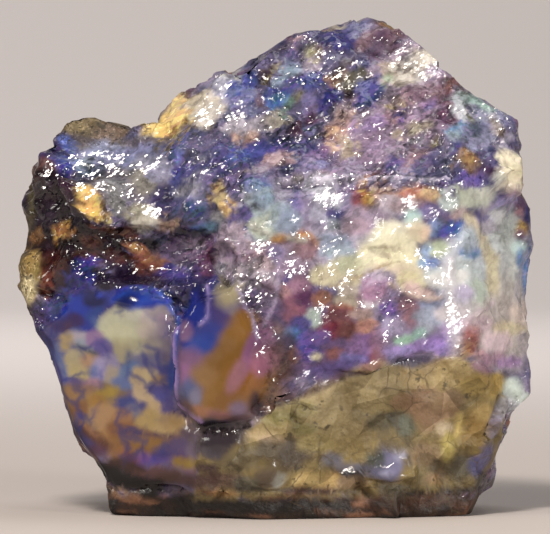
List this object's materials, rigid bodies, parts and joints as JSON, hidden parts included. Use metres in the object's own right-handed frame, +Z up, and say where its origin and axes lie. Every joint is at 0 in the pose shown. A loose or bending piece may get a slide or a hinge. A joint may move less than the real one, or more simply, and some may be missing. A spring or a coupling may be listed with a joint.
{
  "type": "opal gemstone",
  "caption": "Hand-sized piece of rough opal with a glassy broken face, a slab of brown host rock let into its foot and a flat underside to rest on.",
  "frame": {"origin": "on the surface the stone rests on, under the middle of its box", "axes": "+Z up from the flat foot, the best face looks along -Y, +X to the right across that face"},
  "size_m": [0.06, 0.0366, 0.0584],
  "materials": {
    "opal": "glassy violet-blue opal with milky, cream, amber and rust patches, and dull brown host rock low on the face"
  },
  "bodies": {
    "root": {"opal": "opal"}
  },
  "joints": []
}
